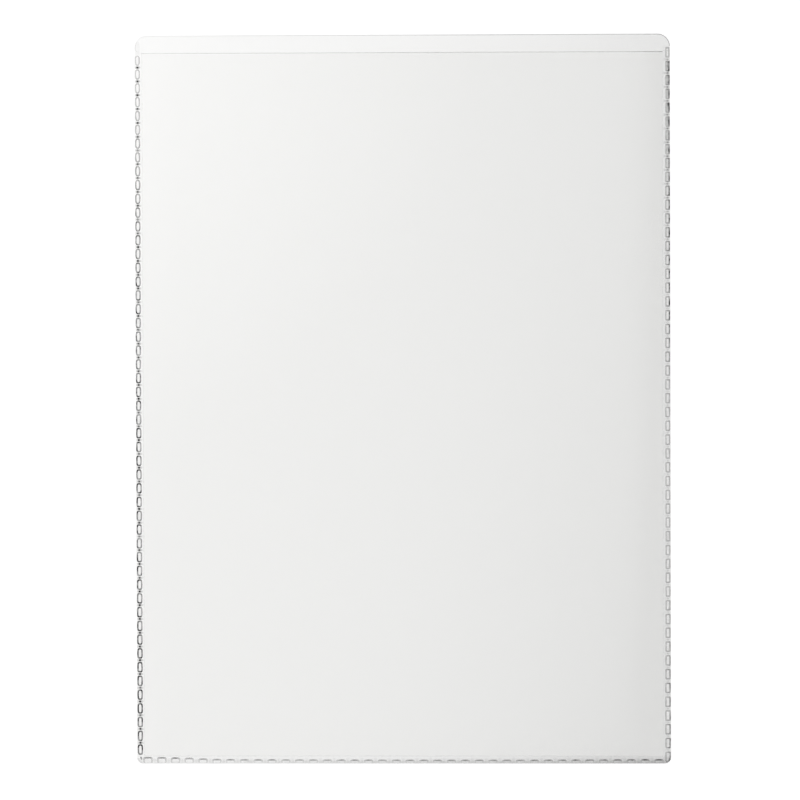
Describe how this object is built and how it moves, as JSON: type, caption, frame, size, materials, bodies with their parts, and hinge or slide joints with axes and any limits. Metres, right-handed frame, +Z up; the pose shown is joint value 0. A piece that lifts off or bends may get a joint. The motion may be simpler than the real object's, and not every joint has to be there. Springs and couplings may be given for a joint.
{
  "type": "document sleeve",
  "caption": "Flat clear plastic sleeve, open at the top, for one small sheet: two films welded on three edges with a chain pattern, the back film taller as a lip.",
  "frame": {"origin": "middle of the back film's underside, on which the sleeve lies", "axes": "+X across the sleeve, +Y along it towards the open mouth and the lip, +Z up through the front film"},
  "size_m": [0.16, 0.218, 0.0007],
  "materials": {
    "clear_film": "clear glossy plastic film with a faint grey tint",
    "pressed_weld": "clear film fused and embossed, so it looks darker along the links' edges"
  },
  "bodies": {
    "root": {"back_sheet": "clear_film", "front_sheet": "clear_film", "left_weld": "pressed_weld", "right_weld": "pressed_weld", "bottom_weld": "pressed_weld"}
  },
  "joints": []
}
